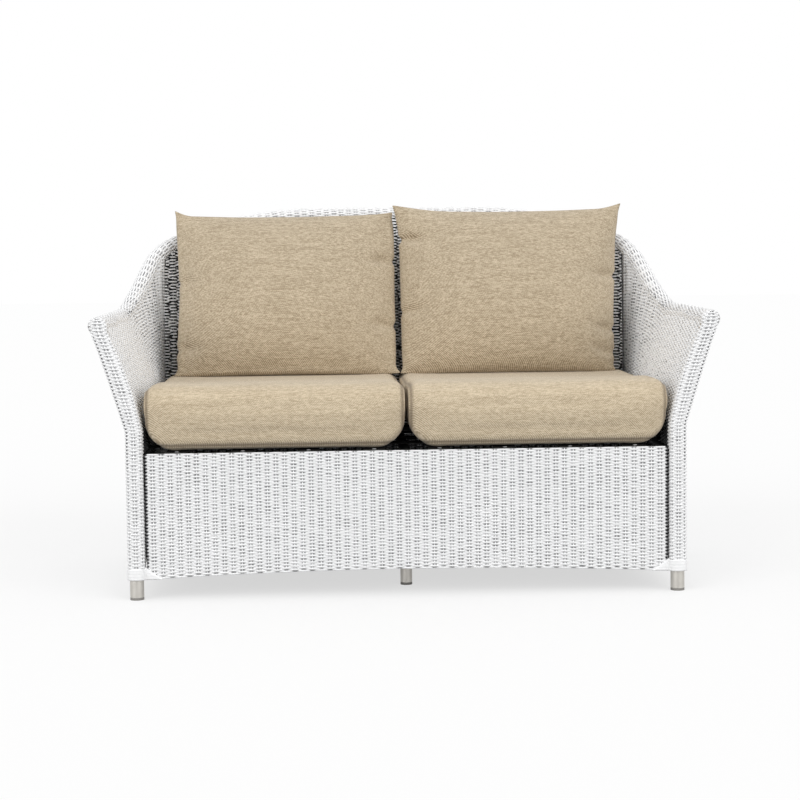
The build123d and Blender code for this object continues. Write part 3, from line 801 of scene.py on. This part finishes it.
class Face:
    """The depth of one face of a CAD node, read by rays along an axis on an even grid."""

    def __init__(self, node, axis, way, spread=0):
        low, high = [np.array(corner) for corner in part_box(node)]
        mesh = nodes[node].data
        corners = [tuple(vert.co) for vert in mesh.vertices]
        faces = [tuple(polygon.vertices) for polygon in mesh.polygons]
        tree = BVHTree.FromPolygons(corners, faces)
        self.low = (low[1 - axis], low[2])
        self.counts = [int((high[i] - low[i]) / face_cell) + 2 for i in (1 - axis, 2)]
        depths = np.full(self.counts, np.nan)
        start_depth = (high if way > 0 else low)[axis] + way * face_ray_start
        ray = Vector((0, 0, 0))
        ray[axis] = -way
        for i in range(self.counts[0]):
            for k in range(self.counts[1]):
                start = Vector((0, 0, self.low[1] + k * face_cell))
                start[1 - axis] = self.low[0] + i * face_cell
                start[axis] = start_depth
                hit = tree.ray_cast(start, ray)[0]
                if hit is not None:
                    depths[i, k] = hit[axis]
        met = ~np.isnan(depths)
        for cell in range(spread):
            met[:, 1:] |= met[:, :-1]
            met[1:] |= met[:-1]
            met[:-1] |= met[1:]
        self.met = met.astype(float)
        self.depths = self.filled(depths)

    def filled(self, depths):
        """Carries the depth at the edge of the face on to where no ray met it."""
        for lines in (depths, depths.T):
            for line in lines:
                met = np.flatnonzero(~np.isnan(line))
                if len(met):
                    line[:] = np.interp(np.arange(len(line)), met, line[met])
        return depths

    def read(self, table, across, up):
        """Reads a table at points between its grid lines."""
        i = np.clip((across - self.low[0]) / face_cell, 0, self.counts[0] - 1.001)
        k = np.clip((up - self.low[1]) / face_cell, 0, self.counts[1] - 1.001)
        i0, k0 = i.astype(int), k.astype(int)
        i_part, k_part = i - i0, k - k0
        near = table[i0, k0] * (1 - k_part) + table[i0, k0 + 1] * k_part
        far = table[i0 + 1, k0] * (1 - k_part) + table[i0 + 1, k0 + 1] * k_part
        return near * (1 - i_part) + far * i_part

    def depth(self, across, up):
        return self.read(self.depths, across, up)

    def holds(self, across, up):
        """True where the face is, or within about a cell of it."""
        end = [self.low[i] + self.counts[i] * face_cell for i in (0, 1)]
        inside = (across > self.low[0] - face_cell) & (across < end[0])
        inside &= (up > self.low[1] - face_cell) & (up < end[1])
        return inside & (self.read(self.met, across, up) > face_least_share)


inner_face = Face("arm_weave_inner_right", axis=0, way=-1, spread=2)
outer_face = Face("arm_weave_outer_right", axis=0, way=1, spread=2)


def side_y(u):
    """Where a run of cloth beside the post has got to, from front to back."""
    return front_post_y - facing_half_depth + facing_corner + abs(u) - side_start


def facing_edges(z):
    """How far out the inner and outer faces of the front of the arm are at a height."""
    share = np.clip((z - waist_height) / (arm_height - waist_height), 0, 1)
    inner, outer = [
        start + share * flare - 4 * sag * flare * share * (1 - share)
        for start, flare, sag in (facing_inner, facing_outer)
    ]
    return np.minimum(inner, arm_tip_x - facing_tip_half), outer


def facing_surface(u, v):
    """Round the front post, and over the tip of the arm in a dome."""
    above = np.clip((v - arm_height) / roll_reference_radius, 0, math.pi / 2)
    z = np.where(v > arm_height, arm_height + roll_reference_radius * np.sin(above), v)
    inner, outer = facing_edges(z)
    inner = arm_tip_x - (arm_tip_x - inner) * np.cos(above)
    outer = arm_tip_x + (outer - arm_tip_x) * np.cos(above)
    middle = (inner + outer) / 2
    half = (outer - inner) / 2
    near_tip = np.clip((v - facing_tip_start) / facing_tip_length, 0, 1)
    corner = facing_corner + (facing_tip_corner - facing_corner) * near_tip
    corner = np.minimum(corner, facing_corner_share * half)
    way = np.sign(u)
    run = abs(u)
    flat = run <= facing_nominal_half
    turn = np.clip((run - facing_nominal_half) / corner_run, 0, 1) * math.pi / 2
    x_flat = run / facing_nominal_half * (half - corner)
    x_turn = half - corner + corner * np.sin(turn)
    y_turn = front_post_y - facing_half_depth + corner * (1 - np.cos(turn))
    facing_depth = facing_half_depth + facing_back_reach
    straight = np.clip(run - side_start, 0, None)
    straight = straight * (facing_depth - corner) / (facing_depth - facing_corner)
    x = middle + way * np.where(flat, x_flat, x_turn)
    return places_of(x, y_turn + straight, z)


def arm_surface(face):
    def surface(u, v):
        y = side_y(u)
        return places_of(face.depth(y, v), y, v)
    return surface


def facing_keep(u, v):
    dome_top = arm_height + roll_reference_radius * math.pi / 2
    return (abs(u) < arm_split + edge_slack) & (v > facing_low) & (v < dome_top)


def arm_keep(face):
    def keep(u, v):
        return (abs(u) > arm_split - edge_slack) & face.holds(side_y(u), v)
    return keep


def facing_shade(u, v):
    round_way = (u > facing_shade_u[0]) & (u < facing_shade_u[1])
    return 0.5 * (round_way & (v > facing_shade_v[0]) & (v < facing_shade_v[1]))


facing_corners = (-arm_split, weave_low), (arm_split, arm_height + facing_over)
facing = woven_cloth(*facing_corners, arm_reach, arm_middle)
# Painted shade along the facing's outer edge.
paint_shade(facing, facing_shade)
drape(facing, facing_surface, facing_keep)
inner_corners = (-arm_run, inner_skin_low), (-arm_split, arm_top)
inner_skin = woven_cloth(*inner_corners, arm_reach, arm_middle)
# Painted shade: the inner skin darkens towards the cushion.
paint_shade(inner_skin, lambda u, v: np.clip((arm_shade_top - v) / arm_shade_fade, 0, 1))
drape(inner_skin, arm_surface(inner_face), arm_keep(inner_face))
outer_skin = woven_cloth((arm_split, weave_low), (arm_run, arm_top), arm_reach, arm_middle)
drape(outer_skin, arm_surface(outer_face), arm_keep(outer_face))
arm_cloths = (
    ("facing", facing, white_weave, "front_facing"),
    ("arm_inner", inner_skin, arm_weave, "arm_weave_inner"),
    ("arm_outer", outer_skin, white_weave, "arm_weave_outer"),
)
for name, mesh, finish, node in arm_cloths:
    for side, shape in (("right", mesh), ("left", mirrored(mesh))):
        piece = new_piece(f"{name}_{side}", shape, finish, "frame")
        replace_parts(piece, f"{node}_{side}")

# Back: one cloth of woven vinyl inside and one outside, fastened to the top rail and the rear
# rails. The inner one lies in the shade of the pillows and carries painted shade: its white
# strands are painted mostly black, for that shade and the dark hollow behind them.
back_dive = (0.16, 0.28)
back_patch = (110, 110, 220)
shaded_weave = weave_material("shaded_weave", hollow_painted_shade, back_dive, wander=1.3, patch=back_patch)
back_reach = 0.0022
back_middle = -0.0030
back_half = 0.64
back_top = 0.9
back_inner_face = Face("back_weave_inner", axis=1, way=-1)
back_outer_face = Face("back_weave_outer", axis=1, way=1)


def back_inner_surface(u, v):
    return places_of(u, back_inner_face.depth(u, v), v)


def back_outer_surface(u, v):
    return places_of(-u, back_outer_face.depth(-u, v), v)


def back_piece(name, low, high, surface, holds, finish):
    """A part of one of the back's two cloths, between two corners (u, v)."""
    cloth = woven_cloth(low, high, back_reach, back_middle)

    def keep(u, v):
        return (u > low[0] - edge_slack) & (u < high[0] + edge_slack) & holds(u, v)

    drape(cloth, surface, keep)
    return new_piece(name, cloth, finish, "frame")


def back_outer_holds(u, v):
    return back_outer_face.holds(-u, v)


back_joint = -stake_pitch / 2
for side, low_u, high_u in (("one", -back_half, back_joint), ("two", back_joint, back_half)):
    inner_piece = back_piece(
        f"back_inner_{side}", (low_u, inner_skin_low), (high_u, back_top),
        back_inner_surface, back_inner_face.holds, shaded_weave,
    )
    outer_piece = back_piece(
        f"back_outer_{side}", (low_u, weave_low), (high_u, back_top),
        back_outer_surface, back_outer_holds, white_weave,
    )
    if side == "one":
        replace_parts(inner_piece, "back_weave_inner")
        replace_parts(outer_piece, "back_weave_outer")

# Rolls: the edge of the woven vinyl cloth, wound over the arm rails and the back rail with its
# strands along the rail, and fastened underneath.
# The rail's corners on the right, from the arm's tip to the middle of the back: y from the post.
rail_points = [
    (0.698, -0.020, 0.625), (0.691, 0.548, 0.632), (0.616, 0.682, 0.801),
    (0.362, 0.778, 0.884), (0, 0.826, 0.888),
]
bend_steps = 24
bend_share = 0.45
joint_bend_share = 0.9
roll_reach = 0.0015
roll_middle = -0.0027
roll_nudge = 0.004
roll_tip_gap = 0.0359
# The rolls' weave has painted shade in its dashes, setting in nearer the front than on the white
# weave.
roll_weave = weave_material("roll_weave", (0.34, 0.34, 0.35, 1), (0.26, 0.44), wander=0.36)


def rail_line(points, shares):
    """Points along straight runs and round bends, each as large as its share of the shorter run."""
    line = [points[0]]
    for before, corner, after, share in zip(points, points[1:], points[2:], shares):
        reach = share * min((corner - before).length, (after - corner).length)
        start = corner + (before - corner).normalized() * reach
        end = corner + (after - corner).normalized() * reach
        weight = math.cos((corner - before).angle(after - corner) / 2)
        for step in range(bend_steps + 1):
            s = step / bend_steps
            a, b, c = (1 - s) ** 2, 2 * weight * s * (1 - s), s * s
            line.append((start * a + corner * b + end * c) / (a + b + c))
    return line + [points[-1]]


rail_corners = [Vector((x, y + front_post_y, z)) for x, y, z in rail_points]
rail_joint = (rail_corners[2] + rail_corners[3]) / 2
arm_part = rail_line([*rail_corners[:3], rail_joint], [bend_share, bend_share])
beyond_middle = Vector((-rail_corners[3].x, rail_corners[3].y, rail_corners[3].z))
crown = rail_line([rail_joint, *rail_corners[3:], beyond_middle], [joint_bend_share, bend_share])
crown = [point for point in crown if point.x > 0]
rail_half = arm_part + crown[1:]
rail = [(-p.x, p.y, p.z) for p in rail_half] + [tuple(p) for p in reversed(rail_half)]
rail = np.array(rail)
rail_run = np.concatenate([[0], np.cumsum(np.linalg.norm(np.diff(rail, axis=0), axis=1))])
rail_run -= rail_run[-1] / 2


def rail_place(u):
    return np.stack([np.interp(u, rail_run, rail[:, i]) for i in range(3)], axis=-1)


def roll_surface(u, v):
    centre = rail_place(u)
    tangent = rail_place(u + roll_nudge) - rail_place(u - roll_nudge)
    tangent /= np.maximum(np.linalg.norm(tangent, axis=1, keepdims=True), 1e-9)
    up = np.array([0, 0, 1]) - tangent * tangent[:, 2:3]
    up /= np.linalg.norm(up, axis=1, keepdims=True)
    side_way = np.cross(tangent, up)
    turn = (v / roll_reference_radius)[:, None]
    return centre + roll_reference_radius * (np.cos(turn) * up - np.sin(turn) * side_way)


def roll(name, low_u, high_u, stands_for):
    """One stretch of the roll, between two places along the rail."""
    round_way = 2 * math.pi * roll_reference_radius
    corners = (low_u, 0), (high_u, round_way - 2 * strand_pitch)
    cloth = woven_cloth(*corners, roll_reach, roll_middle)

    def keep(u, v):
        between = (u > low_u - edge_slack) & (u < high_u + edge_slack)
        return between & (v < round_way - strand_pitch / 2)

    drape(cloth, roll_surface, keep)
    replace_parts(new_piece(name, cloth, roll_weave, "frame"), stands_for)


crown_length = sum((after - before).length for before, after in zip(crown, crown[1:]))
joint_run = (math.floor(crown_length / stake_pitch) + 0.5) * stake_pitch
tip_run = (math.floor((rail_run[-1] - roll_tip_gap) / stake_pitch) + 1.5) * stake_pitch
roll("roll_back", -joint_run, joint_run, "back_weave_roll")
roll("roll_arm_right", joint_run, tip_run, "arm_weave_roll_right")
roll("roll_arm_left", -tip_run, -joint_run, "arm_weave_roll_left")

# Corner wraps: the same woven vinyl, wound round each rear post where the arm and the back meet.
# Its seam lies along the outer side, and it reaches from the foot up to the arm's roll.
wrap_x = 0.621
wrap_y = front_post_y + 0.665
wrap_radius = 0.022


def wrap_surface(u, v):
    turn = u / wrap_radius
    return places_of(wrap_x + wrap_radius * np.cos(turn), wrap_y + wrap_radius * np.sin(turn), v)


wrap_round = 2 * math.pi * wrap_radius
wrap_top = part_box("corner_wrap_right")[1].z


def wrap_keep(u, v):
    return (u > -stake_pitch) & (u < wrap_round - stake_pitch / 2) & (v < wrap_top)


wrap = woven_cloth((0, weave_low), (wrap_round, wrap_top), arm_reach, arm_middle)
drape(wrap, wrap_surface, wrap_keep)
for side, shape in (("right", wrap), ("left", mirrored(wrap))):
    piece = new_piece(f"corner_wrap_weave_{side}", shape, white_weave, "frame")
    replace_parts(piece, f"corner_wrap_{side}")

# Cuffs: flat white vinyl wound round the foot of each facing and over the apron's lower corner.
# Its turns lie side by side and show as faint level ridges with soft edges.
cuff_voxel = 0.0016
cuff_smoothings = 6
cuff_dull = (0.84, 0.845, 0.85, 1)
cuff_bright = (0.93, 0.93, 0.935, 1)
cuff_finish = Finish("white_vinyl", roughness=0.45, specular=0.4)
cuff_finish.colour(cuff_finish.blend_colours(cuff_finish.noise(90, 3), cuff_dull, cuff_bright))
turn_inputs = {"Vector": cuff_finish.place(), "Scale": 42, "Distortion": 1.5}
cuff_turns = cuff_finish.node("ShaderNodeTexWave", {"bands_direction": "Z"}, turn_inputs)
cuff_finish.bump(cuff_turns, strength=0.35, distance=0.0008)
for name in sides("cuff"):
    cuff_mesh = voxel_copy([name], cuff_voxel)
    softened = bmesh.new()
    softened.from_mesh(cuff_mesh)
    every_way = {"use_axis_x": True, "use_axis_y": True, "use_axis_z": True}
    for smoothing in range(cuff_smoothings):
        bmesh.ops.smooth_vert(softened, verts=softened.verts, factor=0.5, **every_way)
    softened.to_mesh(cuff_mesh)
    softened.free()
    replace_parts(new_piece(f"wrapped_{name}", cuff_mesh, cuff_finish, "frame"), name)

# Floor and light: a pale floor and a white room, with two broad soft lamps in front, left and
# right. What the camera sees of them is white, and only the object's shadow is on the floor.
floor_reach = 30
floor_grey = (0.33, 0.33, 0.33, 1)
floor_glow = 0.64
room_light = 0.82
room_white = 1.0
lamp_strength = 1.12
lamp_spread = math.radians(50)
lamp_across = 0.95
lamp_drop = -0.48
floor_mesh = bpy.data.meshes.new("floor")
bm = bmesh.new()
bmesh.ops.create_grid(bm, x_segments=1, y_segments=1, size=floor_reach)
bm.to_mesh(floor_mesh)
bm.free()
floor = bpy.data.objects.new("floor", floor_mesh)
scene.collection.objects.link(floor)
floor_finish = Finish("pale_floor", roughness=0.9, specular=0.0)
floor_finish.colour(floor_grey)


def seen_directly(tree):
    """A socket that is 1 where a surface is seen, straight on or in gloss, and 0 for its light."""
    rays = tree.nodes.new("ShaderNodeLightPath")
    socket = rays.outputs["Is Camera Ray"]
    for name in ("Is Glossy Ray", "Is Transmission Ray"):
        most = tree.nodes.new("ShaderNodeMath")
        most.operation = "MAXIMUM"
        tree.links.new(socket, most.inputs[0])
        tree.links.new(rays.outputs[name], most.inputs[1])
        socket = most.outputs[0]
    return socket


floor_seen = Socket(floor_finish, seen_directly(floor_finish.tree)) * floor_glow
floor_white = floor_finish.blend_colours(floor_seen, (0, 0, 0, 1), (1, 1, 1, 1))
floor_finish.feed(floor_finish.shader, {"Emission Color": floor_white})
floor_finish.shader.inputs["Emission Strength"].default_value = 1
floor_mesh.materials.append(floor_finish.material)
world = bpy.data.worlds.new("studio")
scene.world = world
world.use_nodes = True
room = world.node_tree
background = room.nodes["Background"]
background.inputs["Color"].default_value = (1, 1, 1, 1)
room_level = room.nodes.new("ShaderNodeMapRange")
room_level.inputs["To Min"].default_value = room_light
room_level.inputs["To Max"].default_value = room_white
room.links.new(seen_directly(room), room_level.inputs["Value"])
room.links.new(room_level.outputs["Result"], background.inputs["Strength"])
for side, across in (("left", lamp_across), ("right", -lamp_across)):
    sun_data = bpy.data.lights.new(f"soft_sun_{side}", "SUN")
    sun_data.energy = lamp_strength
    sun_data.angle = lamp_spread
    sun = bpy.data.objects.new(f"soft_sun_{side}", sun_data)
    scene.collection.objects.link(sun)
    sun.rotation_euler = Vector((across, 1, lamp_drop)).to_track_quat("-Z", "Y").to_euler()
